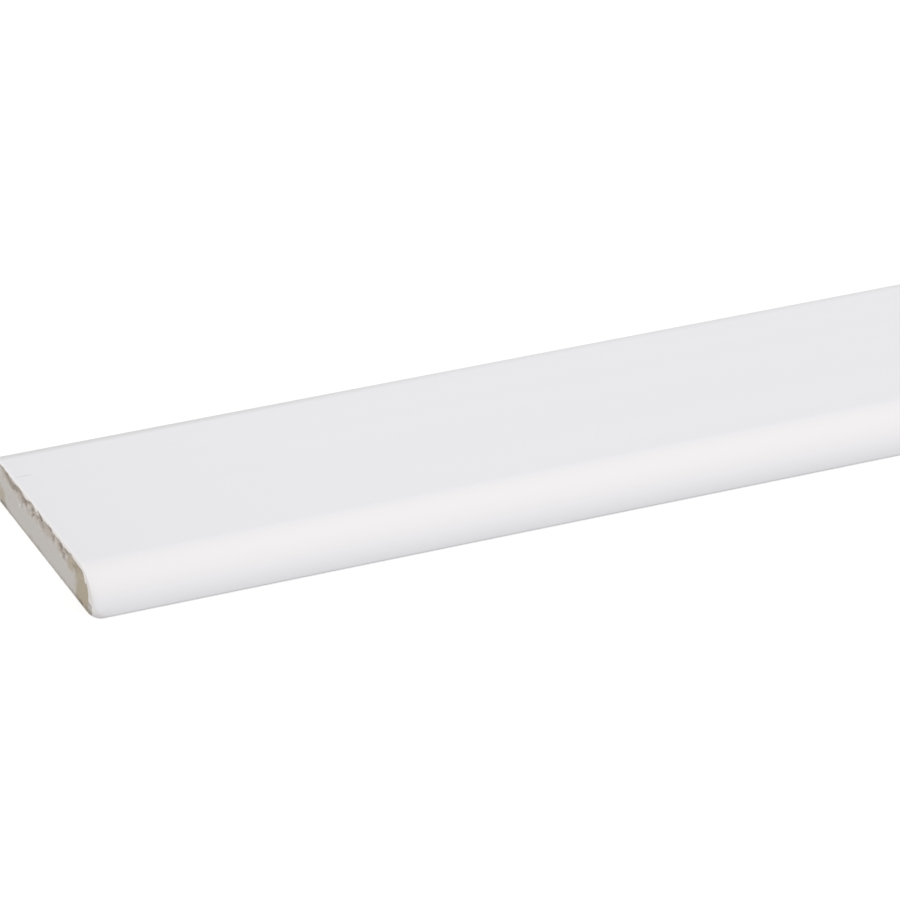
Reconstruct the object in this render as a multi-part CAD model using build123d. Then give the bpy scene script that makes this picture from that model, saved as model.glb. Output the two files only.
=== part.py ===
from build123d import *
import os

# A flat cover strip of coated wood-fibre board: one length of milled stock, lying on its back.
# X runs along the strip from the middle of its length, Y across its face, and Z up from its back.

# Driving dimensions, in millimetres
LENGTH = 2400.0  # a length that such strips are sold in
WIDTH = 40.0  # across the strip, over both rounded edges
THICKNESS = 6.0  # from the flat back to the flat face
FACE_RADIUS = 5.0  # rounding of the two long edges of the face
BACK_RADIUS = 0.4  # eased arris where each long edge meets the back

# The face's rounding leaves an upright land at least as tall as the arris, and a flat in the middle
face_radius = min(FACE_RADIUS, THICKNESS - 2 * BACK_RADIUS, WIDTH / 2 - BACK_RADIUS)


def milled_section():
    """The strip's section: a flat back, two rounded show edges and a flat face between them."""
    with BuildSketch(Plane.YZ.offset(-LENGTH / 2)) as section:
        Rectangle(WIDTH, THICKNESS, align=(Align.CENTER, Align.MIN))
        fillet(section.vertices().group_by(Axis.Y)[-1], radius=face_radius)
        fillet(section.vertices().group_by(Axis.Y)[0], radius=BACK_RADIUS)
    return section.sketch


# The section is carried along the whole length and sawn square at both ends
cover_strip = extrude(milled_section(), amount=LENGTH)
cover_strip.label = "cover_strip"

os.makedirs("parts", exist_ok=True)
export_step(cover_strip, "parts/cover_strip.step")

box = cover_strip.bounding_box()
print(f"cover_strip {box.size.X:.1f} x {box.size.Y:.1f} x {box.size.Z:.1f} mm")
print(f"volume {cover_strip.volume / 1000:.1f} cm3, long edges rounded at {face_radius:.2f} mm")
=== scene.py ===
# %% [markdown]
# # A white cover strip with a torn, sawn end
# This lesson dresses one length of flat trim: a strip of pale fibreboard in a thick white coat, with
# both long edges of its face rounded over. Its construction model is already packed, at real size,
# so the first cell loads that model as a fixed frame and measures it. Everything else is worked out
# in the same frame, in millimetres, and turned into Blender's metres where a mesh is made.

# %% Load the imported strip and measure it
import math
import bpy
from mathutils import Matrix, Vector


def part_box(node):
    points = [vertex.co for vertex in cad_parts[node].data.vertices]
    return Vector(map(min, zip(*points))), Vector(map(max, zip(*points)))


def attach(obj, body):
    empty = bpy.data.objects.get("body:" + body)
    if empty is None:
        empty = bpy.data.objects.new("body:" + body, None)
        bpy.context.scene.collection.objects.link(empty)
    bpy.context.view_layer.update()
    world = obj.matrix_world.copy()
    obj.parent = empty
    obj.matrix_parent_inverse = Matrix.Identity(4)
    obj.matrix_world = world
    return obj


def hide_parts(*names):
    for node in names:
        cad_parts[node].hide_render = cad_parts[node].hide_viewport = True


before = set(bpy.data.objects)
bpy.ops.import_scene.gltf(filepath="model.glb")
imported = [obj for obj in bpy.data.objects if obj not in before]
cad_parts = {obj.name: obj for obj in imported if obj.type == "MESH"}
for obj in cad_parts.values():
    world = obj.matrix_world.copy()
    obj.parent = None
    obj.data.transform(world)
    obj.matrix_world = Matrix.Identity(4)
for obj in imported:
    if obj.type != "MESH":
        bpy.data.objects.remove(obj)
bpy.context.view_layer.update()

from types import SimpleNamespace

import bpy
import numpy as np
from mathutils import Matrix, Vector

scene = bpy.context.scene
MM = 0.001
low, high = (np.array(corner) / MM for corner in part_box("cover_strip"))
LENGTH, WIDTH, THICKNESS = (high - low).round(3).tolist()
print(f"strip {LENGTH:.0f} x {WIDTH:.0f} x {THICKNESS:.0f} mm")

# %% [markdown]
# ## The camera
# The picture looks down on one sawn end through a long lens, and only the first 127 mm of the strip
# are in it. A camera can be placed by eye, but a strip has three sets of straight parallel edges, and
# the points where they would meet give the lens and the two angles. The last unknown is where one
# corner stands in front of the lens, so that corner is what the camera is hung from.

# %% Stand the camera where the picture was taken
AZIMUTH = math.radians(-23.634)
ELEVATION = math.radians(26.823)
LENS = 211.40  # mm, on the usual 36 mm sensor
CORNER_RIGHT, CORNER_UP, CORNER_AWAY = -44.28, -21.30, 657.84  # mm, near lower corner from the lens

right = Vector((math.cos(AZIMUTH), math.sin(AZIMUTH), 0))
level = Vector((math.sin(AZIMUTH), -math.cos(AZIMUTH), 0))
back = level * math.cos(ELEVATION) + Vector((0, 0, math.sin(ELEVATION)))
up = back.cross(right)
eye = Vector(low) - CORNER_RIGHT * right - CORNER_UP * up + CORNER_AWAY * back

camera = bpy.data.objects.new("camera", bpy.data.cameras.new("camera"))
camera.data.lens = LENS
camera.data.clip_start = 0.01
camera.data.clip_end = 200
camera.matrix_world = Matrix.Translation(eye * MM) @ Matrix((right, up, back)).transposed().to_4x4()
scene.collection.objects.link(camera)
scene.camera = camera
print("camera at", [round(c, 3) for c in eye * MM])

# %% [markdown]
# ## The section
# A moulder cuts the strip's section in one pass: a flat back with a small arris, a short upright
# land, a large rounding and a flat face. Carrying a section along a path is the way to make any
# milled stock. Two curves describe it here, the upper one over the face and the lower one under the
# back. They have as many points as each other and share their first and last point, so the sawn end
# can be filled with straight columns between them.

# %% Draw the upper and the lower curve of the section
FACE_RADIUS = 5.0
BACK_RADIUS = 0.4
TURN_STEPS = 40  # columns over each rounded edge
LAND_STEPS, ARRIS_STEPS = 4, 8  # of those, on the upright land and round the arris under it
FLAT_STEP = 0.1  # mm between columns on the flat, less than a pixel of the picture


def whole_curve(edge, height):
    """Left edge points, then a level run across the flat at one height, then the edge mirrored."""
    reach = WIDTH / 2 - FACE_RADIUS
    flat = np.linspace(-reach, reach, round(2 * reach / FLAT_STEP) + 1)[1:-1]
    level_run = np.column_stack([flat, np.full_like(flat, height)])
    return np.vstack([edge, level_run, edge[::-1] * (-1, 1)])


def upper_curve():
    """Rounding y = -W/2 + R(1 - cos a), z = T - R + R sin a, for a of 0 to 90 degrees, then the face."""
    turn = np.linspace(0, np.pi / 2, TURN_STEPS + 1)
    y = -WIDTH / 2 + FACE_RADIUS * (1 - np.cos(turn))
    z = THICKNESS - FACE_RADIUS * (1 - np.sin(turn))
    return whole_curve(np.column_stack([y, z]), THICKNESS)


def lower_curve():
    """The upright land, a quarter turn of the arris radius, then the flat back at height 0."""
    land = np.linspace(THICKNESS - FACE_RADIUS, BACK_RADIUS, LAND_STEPS + 1)[:-1]
    turn = np.linspace(0, np.pi / 2, ARRIS_STEPS + 1)
    run = np.linspace(BACK_RADIUS, FACE_RADIUS, TURN_STEPS - LAND_STEPS - ARRIS_STEPS + 1)[1:]
    y = np.concatenate([np.zeros_like(land), BACK_RADIUS * (1 - np.cos(turn)), run]) - WIDTH / 2
    z = np.concatenate([land, BACK_RADIUS * (1 - np.sin(turn)), np.zeros_like(run)])
    return whole_curve(np.column_stack([y, z]), 0.0)


upper, lower = upper_curve(), lower_curve()
COLUMNS = len(upper) - 1
print(f"section of {COLUMNS} columns, {np.ptp(upper[:, 0]):.1f} mm wide")

# %% [markdown]
# ## The torn end
# The saw left the white coat whole but tore fibres out of the board just under it, and the near lower
# corner has since worn round. Sculpting would do, but a sawn end is nearly flat, so it can be one
# height field: how far each point of the section lies behind the saw cut. The same functions also say
# where the coat, the torn fibres and the bare board are, and the material reads those as attributes,
# so that colour and shape always agree. Smooth random numbers on a lattice give the ragged outlines.

# %% Soft steps, smooth random numbers and rounded corners
LATTICE = 211  # lattice points each way before the numbers repeat


def soft_step(value, start, stop):
    """0 before start, 1 past stop, and 3t^2 - 2t^3 between; start may lie past stop."""
    t = np.clip((value - start) / (stop - start), 0, 1)
    return t * t * (3 - 2 * t)


def ragged(across, upward, cell, seed):
    """Random heights from -1 to 1 at the corners of a lattice's cells, with soft steps between them."""
    heights = np.random.default_rng(seed).uniform(-1, 1, (LATTICE, LATTICE))
    a, b = across / cell[0], upward / cell[1]
    i, j = np.floor(a).astype(int), np.floor(b).astype(int)
    s, t = soft_step(a - i, 0, 1), soft_step(b - j, 0, 1)
    i0, j0, i1, j1 = i % LATTICE, j % LATTICE, (i + 1) % LATTICE, (j + 1) % LATTICE
    lower_row = heights[i0, j0] * (1 - s) + heights[i1, j0] * s
    upper_row = heights[i0, j1] * (1 - s) + heights[i1, j1] * s
    return lower_row * (1 - t) + upper_row * t


def quarter_round(distance, size):
    """How far a rounded corner stands back: size (1 - sqrt(1 - t^2)), where t = 1 - distance / size."""
    t = np.clip(1 - distance / size, 0, 1)
    return size * (1 - np.sqrt(1 - t * t))


def mounds(across, upward, spots):
    """Highest of some elliptical domes sqrt(1 - a^2 - b^2), each times its own last number."""
    height = np.zeros_like(across)
    for centre, middle, half_wide, half_tall, size in spots:
        a, b = (across - centre) / half_wide, (upward - middle) / half_tall
        height = np.maximum(height, size * np.sqrt(np.clip(1 - a * a - b * b, 0, 1)))
    return height


print("a quarter of the way through a soft step:", soft_step(0.25, 0, 1))

# %% Where a point lies on the section, and how rough the cut is there
SHOWN_SEED, OTHER_SEED = 3, 43  # of the random numbers for each end
FRAY, FINE_FRAY = (0.9, 0.6), (0.35, 0.25)  # mm across and up, of what makes the outlines waver
FINE_SHARE = 0.6  # height of the finer one
GRAIN, TUFT = (0.3, 0.22), (0.28, 0.24)  # mm across and up, of the sawn grain and of tufts of fibre
WAVE, FINE_WAVE = 1.1, 0.4  # mm along the lower line of the coat
TINY = 1e-6  # keeps a division by 0 away


def survey(y, z, seed):
    """Where points of an end lie, and the smooth random numbers of the cut there.

    A point lies under the face by R - |(qy, qz)|, with q its reach past the rounding's centre. Its turn
    is (qy / |q|)^2, the square of the sine of the rounding's tilt: 0 under the face, 1 at the land.
    """
    edge = y + WIDTH / 2
    qy = np.maximum(np.abs(y) - WIDTH / 2 + FACE_RADIUS, 0)
    qz = np.maximum(z - THICKNESS + FACE_RADIUS, 0)
    reach = np.hypot(qy, qz)
    turn = (qy / np.maximum(reach, TINY)) ** 2
    fray = ragged(edge, z, FRAY, seed) + FINE_SHARE * ragged(edge, z, FINE_FRAY, seed + 1)
    grain = 0.5 + 0.5 * ragged(edge, z, GRAIN, seed + 2)
    wave = ragged(edge, 0 * edge, (WAVE, 1), seed + 3) + ragged(edge, 0 * edge, (FINE_WAVE, 1), seed + 4)
    tuft = ragged(edge, z, TUFT, seed + 5)
    return SimpleNamespace(edge=edge, z=z, under=FACE_RADIUS - reach, turn=turn,
                           fray=fray, grain=grain, wave=wave, tuft=tuft)


middle = survey(np.zeros(1), np.full(1, THICKNESS / 2), SHOWN_SEED)
print(f"the middle of an end lies {middle.under[0]:.1f} mm under the face")

# %% [markdown]
# ## The cut coat
# On the sawn end the coat shows as a white line under the face, and it is thickest on the near rounded
# edge. The saw left tongues of it hanging down and took bites out of it. It could be a thin layer of
# its own, but it is flush with the board, so here it is a share: what lies less than the coat's
# thickness under the face. The near lower corner is worn round, and the coat's outside turns in
# there, beside a grey smear.

# %% How thick the coat is, and where the corner is worn
COAT_NEAR, COAT_FAR = 0.70, 0.30  # mm of coat under the face, at the near and at the far edge
COAT_ON_EDGE = 1.3  # mm that a rounding adds to the coat
COAT_WAVE, COAT_FRAY = 0.07, 0.05  # mm by which its lower line wavers, under the face and on a rounding
COAT_SOFT = 0.06  # mm either way in which coat turns to board
SMEAR_WIDE, SMEAR_TALL = 2.4, 1.9  # mm across and up, of the grey smear
SMEAR_FRAY, SMEAR_SOFT = 0.10, 0.15  # share of that size by which its outline wavers and fades
SMEAR_COAT = 0.05  # mm of a rounding's added coat that still shows in the smear
WORN_ROUND, WORN_DEEP, WORN_TALL = 2.3, 1.8, 3.0  # mm across, in and up, worn off the near lower corner
TURNS_IN, TURNED_IN = 0.06, 0.16  # mm of wear where the coat's outside starts to turn in, and has turned

# Tongues of coat that hang down, and bites out of it where the last number is negative.
# Each row: mm from the near edge, half width, mm longer.
TONGUES = (
    (3.1, 0.35, 0.60), (4.6, 1.6, 0.18), (7.2, 0.6, 0.10), (8.1, 0.5, -0.24), (10.7, 0.9, 0.22),
    (14.4, 0.4, 0.12), (15.8, 0.9, -0.16), (18.3, 0.5, 0.22), (20.1, 0.45, -0.36), (21.0, 0.4, 0.34),
    (22.5, 0.7, -0.28), (25.0, 0.8, 0.42), (28.3, 0.6, -0.10), (31.8, 0.7, -0.14), (34.0, 0.8, -0.10),
)


def cut_coat(here, damage):
    """Shares of coat, smear and coat turned in, and mm of the coat's thickness and of wear.

    The thickness changes evenly from edge to edge, has a bell for each tongue or bite, and grows with
    the cube of the sine of the rounding's tilt. The smear is an ellipse. The worn corner is a quarter
    round that shrinks with height as (1 - z / tall)^2.
    """
    thick = COAT_NEAR + (COAT_FAR - COAT_NEAR) * here.edge / WIDTH
    thick += COAT_WAVE * here.wave * (1 - here.turn)
    thick += COAT_FRAY * here.fray * here.turn
    for centre, half, longer in TONGUES:
        thick += longer * damage * np.exp(-((here.edge - centre) / half) ** 2)
    smear = np.hypot(here.edge / SMEAR_WIDE, here.z / SMEAR_TALL) + SMEAR_FRAY * here.fray
    smear = soft_step(smear, 1 + SMEAR_SOFT, 1 - SMEAR_SOFT) * damage
    thick += COAT_ON_EDGE * here.turn ** 1.5 * (1 - smear) + SMEAR_COAT * smear

    size = WORN_ROUND * np.clip(1 - here.z / WORN_TALL, TINY, 1) ** 2
    wear_and_warm_highlight = WORN_DEEP / WORN_ROUND * quarter_round(here.edge, size) * damage
    turned_in = soft_step(wear_and_warm_highlight, TURNS_IN, TURNED_IN)
    coat = np.maximum(soft_step(here.under, thick + COAT_SOFT, thick - COAT_SOFT), turned_in)
    return coat, smear, turned_in, thick, wear_and_warm_highlight


thickness = cut_coat(survey(*upper.T, SHOWN_SEED), 1)[3]
print(f"coat from {thickness.min():.2f} to {thickness.max():.2f} mm thick")

# %% [markdown]
# ## Tears, bare board and painted shade
# Under the coat the saw pulled fibres out and left a rough brown band with pockets in it, whose darker
# colour is partly darker fibre and partly painted shade. The board is clean and tan at the near edge,
# painted shade lies along the lower edge, and a few crumbs of coat stick to the cut. All this could be
# painted by hand. Here each mark is a dome or a band with its own place and size in millimetres, and
# the fray shifts its outline, so that nothing looks drawn.

# %% Torn fibres and pockets
TORN_BAND, TORN_TO = 1.7, 34.2  # mm of torn fibres under the coat, and where they end, from the near edge
BAND_FRAY, BAND_SOFT = 0.45, 0.7  # mm by which the band's lower line wavers, and fades either way
STOP_FRAY, STOP_SOFT = 0.3, 0.6  # mm, the same for the line where the band stops
ACROSS_FRAY, ACROSS_TUFT = 0.18, 0.2  # mm by which a pocket's outline wavers across
UP_FRAY, UP_GRAIN = 0.10, 0.3  # mm by which it wavers up
POCKET_EVEN, POCKET_GRAIN = 0.75, 0.5  # share of its depth that is even, and that follows the grain

# Pockets where a lump of fibres came out, and patches that the tear missed. Each row: mm from the near
# edge, mm up from the back, half width, half height, and a share of the full depth.
POCKETS = (
    (4.9, 4.65, 1.2, 0.45, 0.30), (7.1, 3.95, 1.1, 0.50, 0.35), (10.2, 4.85, 0.7, 0.40, 0.50),
    (11.2, 3.70, 0.5, 0.50, 0.85), (12.3, 4.40, 0.75, 0.65, 0.90), (15.1, 4.30, 0.75, 0.45, 0.60),
    (16.3, 5.15, 0.7, 0.40, 0.65), (19.2, 4.20, 0.9, 0.45, 0.45), (19.8, 4.90, 0.7, 0.55, 0.95),
    (20.9, 4.45, 0.6, 0.35, 0.45), (22.8, 4.25, 0.5, 0.80, 0.85), (24.4, 5.10, 0.6, 0.30, 0.40),
    (25.7, 4.45, 0.8, 0.50, 0.90), (26.8, 4.25, 0.7, 0.60, 0.65), (26.5, 3.35, 0.3, 0.50, 0.60),
    (27.6, 4.95, 0.8, 0.45, 0.55), (29.5, 4.60, 1.2, 0.50, 0.65), (30.9, 4.40, 1.3, 0.50, 0.75),
    (32.7, 4.85, 1.0, 0.50, 0.60), (34.4, 5.35, 0.9, 0.30, 0.35),
)
MISSED = ((10.1, 4.1, 0.6, 0.5, 1.0), (14.0, 4.0, 0.6, 0.9, 1.0), (24.1, 4.5, 0.8, 0.45, 1.0))


def frayed(here, spots, across, up):
    """Mounds whose outlines waver with the fray, by so many mm across and up."""
    return mounds(here.edge + across * here.fray, here.z + up * here.fray, spots)


def tears(here, coat, thick, damage):
    """Shares of torn fibres and of pockets: a soft band under the coat's lower line, and domes in it."""
    band = TORN_BAND + BAND_FRAY * here.fray
    torn = soft_step(here.under - thick, band + BAND_SOFT, band - BAND_SOFT)
    torn *= (1 - coat) * (1 - here.turn)
    torn *= soft_step(here.edge + STOP_FRAY * here.fray, TORN_TO + STOP_SOFT, TORN_TO - STOP_SOFT)
    torn *= 1 - frayed(here, MISSED, across=0.2, up=0.1) * damage
    across = here.edge + ACROSS_FRAY * here.fray + ACROSS_TUFT * here.tuft
    upward = here.z + UP_FRAY * here.fray + UP_GRAIN * (here.grain - 0.5)
    pocket = mounds(across, upward, POCKETS)
    pocket *= (POCKET_EVEN + POCKET_GRAIN * here.grain) * damage * (1 - coat)
    return torn, pocket


print(f"{len(POCKETS)} pockets, {len(MISSED)} patches that the tear missed")

# %% Bare board, painted shade along the foot, and crumbs of coat
BARE_REACH, BARE_MORE = 6.6, 1.2  # mm of clean bare board at the near edge, and more of it higher up
BARE_LOW, BARE_HIGH = 3.0, 4.6  # mm up, between which that comes in
BARE_FRAY, BARE_SOFT = 0.35, 0.9  # mm by which its end wavers, and fades either way
END_FOOT_SHADE, END_FOOT_SHADE_TALL, END_FOOT_SHADE_FRAY = 0.32, 0.7, 0.15  # share of painted shade along the lower edge, mm up, mm of waver

# Each row as for the pockets, with a share of the mark's colour as its last number. The flecks are
# painted shade along the lower edge.
FLECKS = (
    (1.6, 0.35, 0.8, 0.45, 0.8), (2.7, 0.30, 1.0, 0.45, 0.5), (4.7, 0.36, 1.0, 0.32, 1.0),
    (5.1, 0.30, 0.8, 0.40, 1.0), (6.3, 0.35, 0.7, 0.40, 0.6), (7.9, 0.35, 0.8, 0.40, 0.5),
    (12.0, 0.15, 0.9, 0.30, 0.4), (20.4, 0.20, 1.6, 0.40, 0.4), (23.6, 0.20, 1.2, 0.40, 0.4),
    (31.8, 0.20, 1.0, 0.40, 0.4), (33.7, 0.30, 1.6, 0.50, 0.8),
)
BROWN_SPOTS = ((34.4, 1.4, 1.5, 1.4, 0.8), (8.4, 3.9, 1.6, 0.8, 0.9), (9.1, 3.4, 0.8, 0.45, 0.8))
CRUMBS = (
    (27.45, 3.1, 0.35, 0.35, 0.4), (21.0, 5.2, 0.55, 0.5, 0.7), (20.5, 4.5, 0.4, 0.2, 0.25),
    (20.2, 5.4, 0.5, 0.3, 0.35), (11.95, 3.4, 0.3, 0.2, 0.4),
)


def marks_and_foot_shade(here, coat, damage):
    """Shares of bare board, painted shade along the foot, and crumbs of coat: soft bands at the near
    and the lower edge, and domes.
    """
    bare_end = BARE_REACH + BARE_FRAY * here.fray + BARE_MORE * soft_step(here.z, BARE_LOW, BARE_HIGH)
    bare = soft_step(here.edge, bare_end + BARE_SOFT, bare_end - BARE_SOFT)
    bare = np.maximum(bare, frayed(here, BROWN_SPOTS, across=0.4, up=0.3)) * damage * (1 - coat)
    end_foot_shade = END_FOOT_SHADE * soft_step(here.z + END_FOOT_SHADE_FRAY * here.fray, END_FOOT_SHADE_TALL, 0)
    end_foot_shade = np.maximum(frayed(here, FLECKS, across=0.4, up=0.1), end_foot_shade) * damage * (1 - coat)
    crumb = frayed(here, CRUMBS, across=0.1, up=0.1) * damage
    return bare, end_foot_shade, crumb


print(f"{len(FLECKS)} flecks of dirt, {len(BROWN_SPOTS)} brown spots, {len(CRUMBS)} crumbs")

# %% [markdown]
# ## Dust and painted shade
# Saw dust greys the coat: a little of it near the cut on the face, and more on the cut coat of the
# rounded edges. A line of painted shade in the same grey runs along the foot of both long edges, darker
# at the cut. It could be a picture laid over the strip, but dust and this shade thin evenly with
# distance, so a few exponentials give them everywhere at once.

# %% Dust and painted shade on the coat
# Shares of dust and of painted shade, and for each the mm from the cut in which it thins to about a
# third.
FACE_DUST, FACE_FADE = 0.09, 15.0
ROUND_LESS = 0.6  # share of the face's dust that is missing on a rounding
RIM_DUST, EDGE_DUST, RIM_FADE = 0.03, 0.28, 0.25  # on the cut coat, and more of it on a rounding
RIM_LOW, RIM_HIGH = 1.0, 2.6  # mm up, between which that comes in
FOOT_SHADE_REST, FOOT_SHADE_AT_CUT, FOOT_SHADE_FADE = 0.1, 0.2, 1.2  # painted shade along the foot of the long edges, and more of it at the cut
FOOT_TOP, FOOT_FULL = 1.2, 0.3  # mm up, between which that comes in


def rim_dust(turn, z):
    """Dust on the cut coat: a little along the face, more as a rounding turns, less again low down."""
    return RIM_DUST + EDGE_DUST * turn * soft_step(z, RIM_LOW, RIM_HIGH)


def coat_dust_and_shade(x, turn, z):
    """Dust, and painted shade along the foot, on the coat's outside: an exponential in the distance x
    from the cut for each kind.
    """
    face_dust = FACE_DUST * (1 - ROUND_LESS * turn) * np.exp(-x / FACE_FADE)
    coat_foot_shade = (FOOT_SHADE_REST + FOOT_SHADE_AT_CUT * np.exp(-x / FOOT_SHADE_FADE)) * soft_step(z, FOOT_TOP, FOOT_FULL)
    return face_dust + rim_dust(turn, z) * np.exp(-x / RIM_FADE) + coat_foot_shade


at_cut, farther = (coat_dust_and_shade(distance, 0, THICKNESS) for distance in (0, 20))
print(f"dust on the face: {at_cut:.2f} at the cut, {farther:.2f} 20 mm away")

# %% All the zones of an end, and its depth
POCKET_DEEP, TORN_DEEP = 0.25, 0.10  # mm behind the saw cut
GRAIN_DEEP, TORN_GRAIN = 0.04, 0.10  # mm of sawn grain, and more of it where fibres tore
COAT_RIM = 0.07  # mm of rounding where the coat was cut


def end_zones(y, z, seed, damage):
    """Named shares from 0 to 1 for the materials, and mm behind the saw cut.

    The depth adds up pockets, torn fibres and grain, and the deeper one of the coat's rounded rim and
    the worn corner.
    """
    here = survey(y, z, seed)
    coat, smear, turned_in, thick, wear_and_warm_highlight = cut_coat(here, damage)
    torn, pocket = tears(here, coat, thick, damage)
    bare, end_foot_shade, crumb = marks_and_foot_shade(here, coat, damage)
    dust_and_shade = smear * (1 - coat) * (1 - end_foot_shade)
    dust_and_shade += rim_dust(here.turn, z) * (coat - turned_in) * damage
    # the worn corner's coat gets the face's dust and the painted shade along the foot
    dust_and_shade += coat_dust_and_shade(0, here.turn, z) * turned_in
    depth = POCKET_DEEP * pocket + TORN_DEEP * torn
    depth += (GRAIN_DEEP + TORN_GRAIN * torn) * here.grain * (1 - coat)
    depth += np.maximum(quarter_round(here.under, COAT_RIM), wear_and_warm_highlight)
    # the pockets' darkening and the painted shade along the foot share one attribute
    zones = {"coat": np.maximum(coat, crumb), "torn": torn, "bare": bare,
             "pocket_and_foot_shade": np.maximum(pocket, end_foot_shade), "dust_and_shade": dust_and_shade, "wear_and_warm_highlight": turned_in}
    return zones, depth


zones, depth = end_zones(upper[:, 0], upper[:, 1] - 1, SHOWN_SEED, 1)
for name, share in (*zones.items(), ("depth", depth)):
    print(f"1 mm under the face, {name} runs from {share.min():.2f} to {share.max():.2f}")

# %% [markdown]
# ## One closed mesh
# The skin is the section's loop repeated at stations along the strip, close together near the ends
# and far apart between them. Its first and last loops follow the saw cut's depth, and a hairline
# crack runs in from the shown end. Each end is a grid of columns between the lower and the upper
# curve, and its rim uses the skin's own points, so that the mesh is closed with nothing to merge. The
# map named OFBake gives the two ends far more of a texture than their share of the surface, because
# they hold most of the detail.

# %% Work out the points of the skin
NEAR_STATIONS = np.array([0, 0.35, 0.8, 1.2, 1.6, 2.0, 2.4, 2.8, 3.2, 3.6,
                          6, 12, 25, 40, 65, 150, 350, 700])  # mm from either end

along = np.r_[NEAR_STATIONS, LENGTH / 2, LENGTH - NEAR_STATIONS[::-1]]
loop = np.vstack([upper, lower[COLUMNS - 1:0:-1]])
LOOP = len(loop)
skin = np.zeros((len(along), LOOP, 3))
skin[:, :, 0] = along[:, None] + low[0]
skin[:, :, 1:] = loop
print(f"skin of {len(along)} loops of {LOOP} points")

# %% A line of painted shade and a hairline crack in the coat
LINE_SHADE, LINE_REST = 0.25, 0.03  # share of painted shade along the far rounding, near the cut and far from it
LINE_FROM, LINE_TO = 25.0, 65.0  # mm from the cut, where that line thins
LINE_ACROSS, LINE_UP = (-0.3, 1.1), (1.5, 4.0)  # mm past the flat and mm up, between which it comes in
CRACK_AT = 29.8  # mm from the near edge
CRACK_LONG, CRACK_HALF, CRACK_DEEP = 2.9, 0.12, 0.03  # mm, the second being half its width
CRACK_DRIFT, CRACK_WANDER, CRACK_BEND = -0.09, 0.3, 0.8  # mm across in a mm, mm of wander, mm in a bend
CRACK_IN, CRACK_OUT = (-0.2, 0.7), 0.8  # mm in which it fades in, share of its length where it fades out
CRACK_SEED = 71


def dust_and_shade_share(x, y, z, turn):
    """Dust and painted shade from the cut, and a line of painted shade where the far rounding starts
    that thins along the strip.
    """
    line = LINE_REST + (LINE_SHADE - LINE_REST) * soft_step(x, LINE_TO, LINE_FROM)
    past_flat = soft_step(y - WIDTH / 2 + FACE_RADIUS, *LINE_ACROSS) * soft_step(z, *LINE_UP)
    return coat_dust_and_shade(x, turn, z) + line * past_flat


def crack_share(x, y, z):
    """1 on a wandering line over the face, a bell across it, fading in at the cut and out at its end."""
    bends = CRACK_WANDER * ragged(x, 0 * x, (CRACK_BEND, 1), CRACK_SEED)
    line = CRACK_AT - WIDTH / 2 + CRACK_DRIFT * x + bends
    fade = soft_step(x, CRACK_LONG, CRACK_OUT * CRACK_LONG) * soft_step(x, *CRACK_IN)
    return np.exp(-((y - line) / CRACK_HALF) ** 2) * fade * (z == THICKNESS)


x, y, z = np.broadcast_arrays(along[:, None], loop[:, 0], loop[:, 1])
crack = crack_share(x, y, z)
skin[:, :, 2] -= CRACK_DEEP * crack
print(f"crack up to {CRACK_DEEP * crack.max() * 1000:.0f} thousandths of a mm deep")

# %% What the skin shows
BACK_BARE = 0.6  # share of tan on the raw back
CRACK_SHADE = 0.45  # share of painted shade in the crack
HIGHLIGHT_TINT_FROM, HIGHLIGHT_TINT_TO = (0.01, 0.08), (0.95, 0.75)  # turns where a rounding's painted warm highlight fades in, and where it fades out

turn = (np.maximum(np.abs(y) - WIDTH / 2 + FACE_RADIUS, 0) / FACE_RADIUS) ** 2
skin_shares = {
    "coat": np.where(z > 0, 1.0, 0.0),
    "torn": np.zeros_like(turn),
    "bare": np.where(z > 0, 0.0, BACK_BARE),
    "pocket_and_foot_shade": np.zeros_like(turn),
    # dust, painted shade along the foot and the far rounding, and painted shade in the crack
    "dust_and_shade": np.maximum(dust_and_shade_share(x, y, z, turn), CRACK_SHADE * crack),
    # a painted warm highlight on the roundings
    "wear_and_warm_highlight": soft_step(turn, *HIGHLIGHT_TINT_FROM) * soft_step(turn, *HIGHLIGHT_TINT_TO),
}
print(f"dust on the coat up to {skin_shares['dust_and_shade'].max():.2f}")

# %% Work out the points of both ends
CLOSER = 0.6  # share of a column's height above which its rows are closer together
ROWS = np.r_[np.linspace(0, CLOSER, 24, endpoint=False), np.linspace(CLOSER, 1, 32)]
TALL = len(ROWS) - 1
FOLLOW = 3.0  # mm over which the skin stops following the saw cut
ENDS = ((0, 1, SHOWN_SEED, 1), (len(along) - 1, -1, OTHER_SEED, 0))  # station, inward way, seed, damage

face = lower[:, None] + (upper - lower)[:, None] * ROWS[:, None]
caps, cap_shares = [], []
for station, inward, seed, damage in ENDS:
    zones, depth = end_zones(*loop.T, seed, damage)
    follows = np.clip(1 - np.abs(along - along[station]) / FOLLOW, 0, 1)
    skin[:, :, 0] += inward * depth * follows[:, None]
    for name in ("coat", "torn", "bare", "pocket_and_foot_shade", "wear_and_warm_highlight"):
        skin_shares[name][station] = zones[name]
    zones, depth = end_zones(face[..., 0], face[..., 1], seed, damage)
    cut = along[station] + low[0] + inward * depth
    caps.append(np.dstack([cut, face])[1:-1, 1:-1].reshape(-1, 3))
    cap_shares.append({name: share[1:-1, 1:-1].ravel() for name, share in zones.items()})
print(f"two ends of {len(caps[0])} points each")

# %% Join the grids into faces with the bake's map
SKIN_MAP = (0.02, 0.60)  # low and high edge of the skin on the map
CAP_MAPS = (0.64, 0.82)  # low edge of each end on the map
MAP_LEFT, MAP_WIDE = 0.02, 0.96
END_LONG, END_SHARE = 12.0, 0.12  # mm of skin at each end, and its share of the map's width

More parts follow.
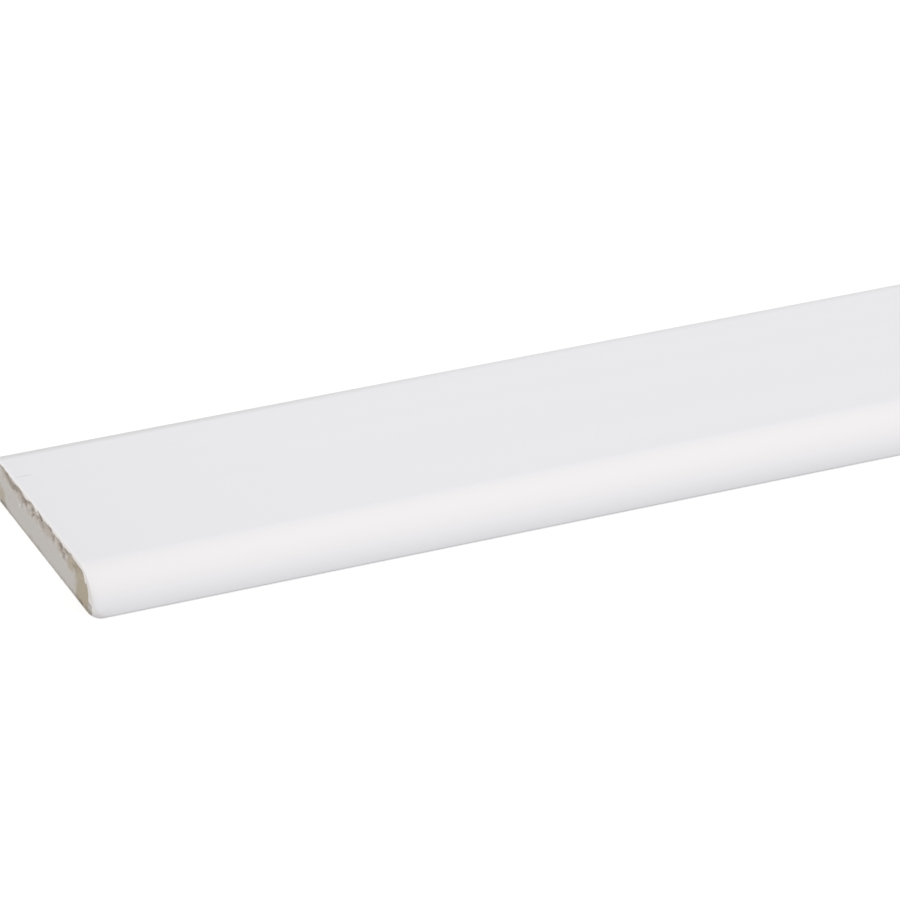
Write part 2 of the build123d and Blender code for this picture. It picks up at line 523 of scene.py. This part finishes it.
along_map = np.interp(along, [0, END_LONG, LENGTH - END_LONG, LENGTH], [0, END_SHARE, 1 - END_SHARE, 1])
along_map = along_map * MAP_WIDE + MAP_LEFT
loop_map = np.linspace(*SKIN_MAP, LOOP + 1)


def quads(index):
    """Four corners of each cell of an index grid, anticlockwise with rows across and columns up."""
    return np.stack([index[:-1, :-1], index[1:, :-1], index[1:, 1:], index[:-1, 1:]], -1).reshape(-1, 4)


s, n = np.meshgrid(np.arange(len(along)), np.arange(LOOP + 1), indexing="ij")
skin_faces = quads(s * LOOP + n % LOOP)
faces, maps = [skin_faces], [np.stack([quads(along_map[s]), quads(loop_map[n])], -1)]

j, k = np.meshgrid(np.arange(COLUMNS + 1), np.arange(TALL + 1), indexing="ij")
across_map = MAP_LEFT + MAP_WIDE * (face[..., 0] / WIDTH + 0.5)
for end, (station, inward, *_) in enumerate(ENDS):
    first = skin.size // 3 + end * len(caps[0])
    index = first + (j - 1) * (TALL - 1) + k - 1
    index = np.where(k == 0, station * LOOP + (LOOP - j) % LOOP, index)
    index = np.where((k == TALL) | (j == 0) | (j == COLUMNS), station * LOOP + j, index)
    upward_map = CAP_MAPS[end] + MAP_WIDE * face[..., 1] / WIDTH
    turned = slice(None, None, -inward)
    faces.append(quads(index)[:, turned])
    maps.append(np.stack([quads(across_map), quads(upward_map)], -1)[:, turned])

faces, maps = np.vstack(faces), np.vstack(maps)
points = np.vstack([skin.reshape(-1, 3), *caps])
print(f"{len(points)} points, {len(faces)} cells")

# %% Make the strip
SHARP = math.radians(50)  # between two faces, from where their edge is not shaded smooth

keep = faces != np.roll(faces, 1, axis=1)  # a cell that comes to a point at the rim loses a corner
corners, counts = faces[keep], keep.sum(1)
mesh = bpy.data.meshes.new("coated_strip")
mesh.from_pydata(points * MM, [], np.split(corners, np.cumsum(counts)[:-1]))
mesh.polygons.foreach_set("use_smooth", np.ones(len(faces), bool))
mesh.set_sharp_from_angle(angle=SHARP)
mesh.uv_layers.new(name="OFBake").uv.foreach_set("vector", maps[keep].ravel())
strip = bpy.data.objects.new("coated_strip", mesh)
scene.collection.objects.link(strip)

mesh.calc_loop_triangles()
tri = np.zeros(len(mesh.loop_triangles) * 3, int)
mesh.loop_triangles.foreach_get("vertices", tri)
a, b, c = points[tri.reshape(-1, 3)].transpose(1, 0, 2)
volume = np.einsum("ij,ij->", a, np.cross(b, c)) / 6
print(f"{len(tri) // 3} triangles, {volume / 1000:.1f} cm3 inside")

# %% Give it the shares, and say which faces are board
ALL_WORN = 0.9  # share of wear from which a face of the end is the coat's outside, turned in

shares = {name: np.concatenate([share.ravel(), *(cap[name] for cap in cap_shares)])
          for name, share in skin_shares.items()}
for name, values in shares.items():
    mesh.attributes.new(name, "FLOAT", "POINT").data.foreach_set("value", values)

on_back = (loop[:, 1] == 0) & (np.roll(loop[:, 1], -1) == 0)
on_end = shares["wear_and_warm_highlight"][faces[len(skin_faces):]].mean(1) < ALL_WORN
board_faces = np.r_[np.tile(on_back, len(along) - 1), on_end]
mesh.polygons.foreach_set("material_index", board_faces.astype(int))
print(f"{board_faces.sum()} faces of board, {(~board_faces).sum()} of coat")

# %% [markdown]
# ## Colours and nodes
# A colour given here is an sRGB hex value, while shaders work in linear light, so one function
# turns the first into the second. Another adds a node, sets its properties and fills its sockets
# with a number, a colour or a link, and every material below is written with those two.

# %% Helpers for materials


def paint(code):
    """Linear colour of an sRGB hex code: c / 12.92 up to 0.04045, else ((c + 0.055) / 1.055)^2.4."""
    srgb = np.array([int(code[i:i + 2], 16) for i in (1, 3, 5)]) / 255
    linear = np.where(srgb <= 0.04045, srgb / 12.92, ((srgb + 0.055) / 1.055) ** 2.4)
    return (*linear.tolist(), 1.0)


def add(tree, kind, sockets=None, **settings):
    """Adds one node with its settings, fills its sockets by name or number, and returns the node."""
    node = tree.nodes.new(kind)
    for name, value in settings.items():
        setattr(node, name, value)
    for name, value in (sockets or {}).items():
        if isinstance(value, bpy.types.NodeSocket):
            tree.links.new(value, node.inputs[name])
        else:
            node.inputs[name].default_value = value
    return node


def per_metre(size_mm):
    """Texture scale that makes one feature of a pattern about this many millimetres across."""
    return 1 / (size_mm * MM)


print("white is", [round(v, 3) for v in paint("#FFFFFF")])

# %% [markdown]
# ## The white coat
# The coat is a thick white paint, drawn on through a die and dried hard: smooth to the touch, satin and
# a little cool in colour. A touch of warmer white on the roundings is a painted highlight. Up close it
# has shallow waves along the strip from the die and a very fine orange peel. Both are too small for mesh
# points, so they are bump and a slight change of gloss. Dust and painted shade are one attribute of the
# mesh, and they are laid over the white as the last of a few layers of colour.

# %% Satin white coat, drawn on through a die
DRAWN_WAVE, DRAWN_LONG, PEEL = 3.0, 120.0, 1.1  # mm across and along a wave, and of orange peel
# grey of the dust, also used for painted shade
DUST_AND_SHADE_GREY = "#BAB8B4"

coat_white = bpy.data.materials.new("satin white coat")
coat_white.use_nodes = True
tree = coat_white.node_tree
shader = tree.nodes["Principled BSDF"]
place = add(tree, "ShaderNodeTexCoord").outputs["Object"]
drawn = add(tree, "ShaderNodeMapping", {"Vector": place, "Scale": (DRAWN_WAVE / DRAWN_LONG, 1, 1)})
waves = add(tree, "ShaderNodeTexNoise", {"Vector": drawn.outputs[0], "Scale": per_metre(DRAWN_WAVE),
                                         "Detail": 2.0}).outputs["Fac"]
peel = add(tree, "ShaderNodeTexNoise", {"Vector": place, "Scale": per_metre(PEEL),
                                        "Detail": 1.0}).outputs["Fac"]
# a painted warm highlight on the roundings, and at the worn corner the coat turned in
wear_and_warm_highlight = add(tree, "ShaderNodeAttribute", attribute_name="wear_and_warm_highlight").outputs["Fac"]
# dust, and painted shade along the feet, on the far rounding and in the crack
dust_and_shade = add(tree, "ShaderNodeAttribute", attribute_name="dust_and_shade").outputs["Fac"]

white = paint("#E8E7EA")
for layer, code in ((waves, "#EAE9EC"), (wear_and_warm_highlight, "#EAE8E9"), (dust_and_shade, DUST_AND_SHADE_GREY)):
    white = add(tree, "ShaderNodeMix", {0: layer, 6: white, 7: paint(code)}, data_type="RGBA").outputs[2]
gloss = add(tree, "ShaderNodeMapRange", {"Value": waves, "To Min": 0.56, "To Max": 0.64})
lay = add(tree, "ShaderNodeBump", {"Height": waves, "Strength": 0.04, "Distance": 0.02 * MM})
skin_bump = add(tree, "ShaderNodeBump", {"Height": peel, "Strength": 0.06, "Distance": 0.01 * MM,
                                         "Normal": lay.outputs[0]})
tree.links.new(white, shader.inputs["Base Color"])
tree.links.new(gloss.outputs[0], shader.inputs["Roughness"])
tree.links.new(skin_bump.outputs[0], shader.inputs["Normal"])
shader.inputs["IOR"].default_value = 1.5
shader.inputs["Specular IOR Level"].default_value = 0.1
print("coat nodes", len(tree.nodes))

# %% [markdown]
# ## The sawn board
# The core is medium-density fibreboard. Its sawn end is a dusty grey beige, because the saw drags
# white dust across it; where fibres tore out, the clean board shows tan to brown. The colours could be
# a painted picture, but here they are layers, each laid over the last by an attribute from the height
# field. Two sizes of noise give the matted fibres. Real fibres are about 0.04 mm thick, too fine to
# show, so they are drawn four times as thick.

# %% Sawn, torn and bare fibreboard
FIBRE_THICK, FIBRE_LONG, MOTTLE = 0.16, 0.6, 2.2  # mm

board = bpy.data.materials.new("sawn fibreboard")
board.use_nodes = True
tree = board.node_tree
shader = tree.nodes["Principled BSDF"]
place = add(tree, "ShaderNodeTexCoord").outputs["Object"]
laid = add(tree, "ShaderNodeMapping", {"Vector": place, "Scale": (1, FIBRE_THICK / FIBRE_LONG, 1)})
fibres = add(tree, "ShaderNodeTexNoise", {"Vector": laid.outputs[0], "Scale": per_metre(FIBRE_THICK),
                                          "Detail": 3.0}).outputs["Fac"]
mottle = add(tree, "ShaderNodeTexNoise", {"Vector": place, "Scale": per_metre(MOTTLE),
                                          "Detail": 2.0}).outputs["Fac"]
torn, bare, pocket_and_foot_shade, coat, dust_and_shade = (add(tree, "ShaderNodeAttribute", attribute_name=name).outputs["Fac"]
                                for name in ("torn", "bare", "pocket_and_foot_shade", "coat", "dust_and_shade"))
tufts = add(tree, "ShaderNodeMapRange", {"Value": fibres, "From Min": 0.3, "From Max": 0.7,
                                         "To Min": 0.7, "To Max": 1.3})
# painted shade in the pockets and along the foot, with darker fibre in the pockets, varied by the tufts
shade_by_tufts = add(tree, "ShaderNodeMath", {0: pocket_and_foot_shade, 1: tufts.outputs[0]}, operation="MULTIPLY").outputs[0]
brown, tan = (add(tree, "ShaderNodeMix", {0: fibres, 6: paint(pale), 7: paint(dark)},
                  data_type="RGBA").outputs[2]
              for pale, dark in (("#C0B8AF", "#AEA59B"), ("#B8AD9C", "#A79B87")))
print("board nodes before its colour", len(tree.nodes))

# %% Lay the board's colours over each other
layers = (
    (mottle, paint("#C9C4BD")),
    (fibres, paint("#C0BBB6")),
    (torn, brown),
    (bare, tan),
    (shade_by_tufts, paint("#857A70")),  # darker fibre and painted shade in the pockets, painted shade along the foot
    (coat, paint("#EDE9E7")),  # the coat's cut edge, and crumbs of it
    # dust, the grey smear, and painted shade along the foot at the worn corner
    (dust_and_shade, paint(DUST_AND_SHADE_GREY)),
)
colour = paint("#CBC8C6")
for layer, over in layers:
    colour = add(tree, "ShaderNodeMix", {0: layer, 6: colour, 7: over}, data_type="RGBA").outputs[2]
rough = add(tree, "ShaderNodeBump", {"Height": fibres, "Strength": 0.5, "Distance": 0.05 * MM})
tree.links.new(colour, shader.inputs["Base Color"])
tree.links.new(rough.outputs[0], shader.inputs["Normal"])
shader.inputs["Roughness"].default_value = 0.85
shader.inputs["IOR"].default_value = 1.45
for material in (coat_white, board):
    mesh.materials.append(material)
print("board nodes", len(tree.nodes))

# %% [markdown]
# ## The room
# Plain soft studio light: an even pale room, a pale floor, and one wide soft lamp from the left and
# front, above the strip. The lamp is a sun with a very wide disc, so that all 2.4 m are lit alike. The
# floor and the room are shown as white to the camera, and the floor still takes the strip's shadow.

# %% Floor
FLOOR_HALF = 60.0  # m
FLOOR_DROP = 0.00001  # m, so that floor and back don't share a plane


def shows_background(tree):
    """1 for the rays that show the background: from the camera, a reflection or through glass."""
    ray = add(tree, "ShaderNodeLightPath").outputs
    seen = add(tree, "ShaderNodeMath", {0: ray["Is Camera Ray"], 1: ray["Is Glossy Ray"]},
               operation="MAXIMUM")
    return add(tree, "ShaderNodeMath", {0: seen.outputs[0], 1: ray["Is Transmission Ray"]},
               operation="MAXIMUM").outputs[0]


floor_paint = bpy.data.materials.new("pale matt floor")
floor_paint.use_nodes = True
floor_paint.cycles.emission_sampling = "NONE"
tree = floor_paint.node_tree
tree.nodes.clear()
plain = add(tree, "ShaderNodeBsdfDiffuse", {"Color": paint("#D3D3D3")})
shaded = add(tree, "ShaderNodeBsdfDiffuse", {"Color": paint("#B5B5B5")})
lifted = add(tree, "ShaderNodeEmission", {"Color": paint("#FFFFFF"), "Strength": 0.58})
bright = add(tree, "ShaderNodeAddShader", {0: shaded.outputs[0], 1: lifted.outputs[0]})
mixed = add(tree, "ShaderNodeMixShader", {0: shows_background(tree), 1: plain.outputs[0],
                                          2: bright.outputs[0]})
add(tree, "ShaderNodeOutputMaterial", {"Surface": mixed.outputs[0]})

ground = bpy.data.meshes.new("floor")
ground.from_pydata([(x * FLOOR_HALF, y * FLOOR_HALF, -FLOOR_DROP)
                    for x, y in ((-1, -1), (1, -1), (1, 1), (-1, 1))], [], [(0, 1, 2, 3)])
ground.materials.append(floor_paint)
floor = bpy.data.objects.new("floor", ground)
scene.collection.objects.link(floor)
print(f"floor of {2 * FLOOR_HALF:.0f} m each way")

# %% Room and soft lamp
ROOM, LAMP = 0.624, 0.506  # light from each; 1 in all on the face shows a colour as written
LAMP_FROM = Vector((-0.445, -0.498, 0.745))
LAMP_WIDE = math.radians(60)

scene.world = bpy.data.worlds.new("pale room")
scene.world.use_nodes = True
tree = scene.world.node_tree
tree.nodes.clear()
lit = add(tree, "ShaderNodeBackground", {"Color": paint("#FFFFFF"), "Strength": ROOM})
bright = add(tree, "ShaderNodeBackground", {"Color": paint("#FFFFFF"), "Strength": 1.0})
mixed = add(tree, "ShaderNodeMixShader", {0: shows_background(tree), 1: lit.outputs[0],
                                          2: bright.outputs[0]})
add(tree, "ShaderNodeOutputWorld", {"Surface": mixed.outputs[0]})

lamp = bpy.data.objects.new("soft lamp", bpy.data.lights.new("soft lamp", "SUN"))
lamp.data.energy = LAMP * math.pi
lamp.data.angle = LAMP_WIDE
lamp.rotation_euler = LAMP_FROM.to_track_quat("Z", "Y").to_euler()
scene.collection.objects.link(lamp)
scene.view_settings.view_transform = "Standard"
print(f"the face is lit at {ROOM + LAMP * LAMP_FROM.z:.2f} of a colour as written")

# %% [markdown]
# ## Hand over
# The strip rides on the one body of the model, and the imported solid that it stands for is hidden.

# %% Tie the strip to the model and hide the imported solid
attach(strip, "root")
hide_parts("cover_strip")
